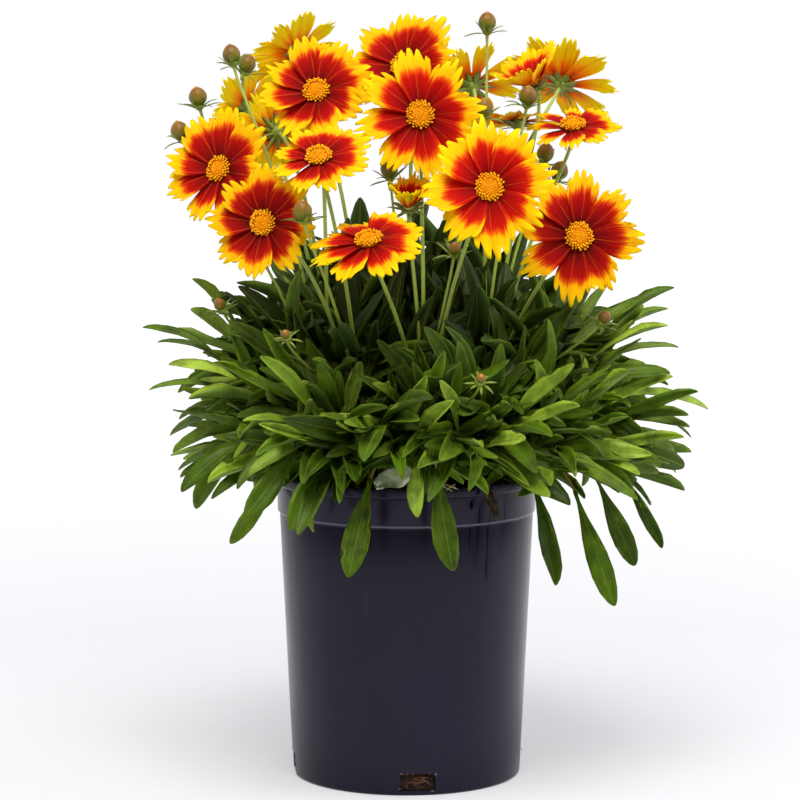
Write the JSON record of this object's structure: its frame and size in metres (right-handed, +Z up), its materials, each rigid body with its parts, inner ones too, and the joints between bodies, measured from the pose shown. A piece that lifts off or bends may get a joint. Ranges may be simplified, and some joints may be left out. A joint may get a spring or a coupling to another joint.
{
  "type": "potted coreopsis",
  "caption": "Bushy coreopsis in bloom in a tapered nursery pot: a mound of lance-shaped leaves under red flowers with toothed yellow petal tips, and round buds.",
  "frame": {"origin": "middle of the pot's underside", "axes": "+Z up out of the pot, -Y towards the side that most blooms face, +X to that side's right"},
  "size_m": [0.348, 0.324, 0.4798],
  "materials": {
    "pot_plastic": "blue-black blow-moulded plastic with a soft gloss",
    "potting_mix": "moist peat and bark, rough and matt",
    "foliage": "fresh green leaves, stalks and bracts with a slight sheen",
    "petals": "velvety petals, deep red at the root and golden yellow at the toothed end",
    "disc_florets": "golden florets, matt and grainy",
    "bud_bracts": "olive brown inner bracts, smooth"
  },
  "bodies": {
    "root": {"pot": "pot_plastic", "soil": "potting_mix", "clump_1": "foliage", "clump_2": "foliage", "clump_3": "foliage", "clump_4": "foliage", "clump_5": "foliage", "clump_6": "foliage", "clump_7": "foliage", "clump_8": "foliage", "clump_middle": "foliage", "bloom_A_petals": "petals", "bloom_A_disc": "disc_florets", "bloom_B_petals": "petals", "bloom_B_disc": "disc_florets", "bloom_C_petals": "petals", "bloom_C_disc": "disc_florets", "bloom_D_petals": "petals", "bloom_D_disc": "disc_florets", "bloom_E_petals": "petals", "bloom_E_disc": "disc_florets", "bloom_F_petals": "petals", "bloom_F_disc": "disc_florets", "bloom_G_petals": "petals", "bloom_G_disc": "disc_florets", "bloom_H_petals": "petals", "bloom_H_disc": "disc_florets", "bloom_I_petals": "petals", "bloom_I_disc": "disc_florets", "bloom_J_petals": "petals", "bloom_J_disc": "disc_florets", "bloom_K_petals": "petals", "bloom_K_disc": "disc_florets", "bloom_L_petals": "petals", "bloom_L_disc": "disc_florets", "bloom_M_petals": "petals", "bloom_M_disc": "disc_florets", "bloom_N_petals": "petals", "bloom_N_disc": "disc_florets", "bloom_O_petals": "petals", "bloom_O_disc": "disc_florets", "bloom_P_petals": "petals", "bloom_Q_petals": "petals", "bloom_Q_disc": "disc_florets", "bloom_R_petals": "petals", "bloom_R_disc": "disc_florets", "bud_01": "bud_bracts", "bud_02": "bud_bracts", "bud_03": "bud_bracts", "bud_04": "bud_bracts", "bud_05": "bud_bracts", "bud_06": "bud_bracts", "bud_07": "bud_bracts", "bud_08": "bud_bracts", "bud_09": "bud_bracts", "bud_10": "bud_bracts", "bud_11": "bud_bracts", "bud_12": "bud_bracts", "bud_13": "bud_bracts", "bud_14": "bud_bracts"}
  },
  "joints": []
}
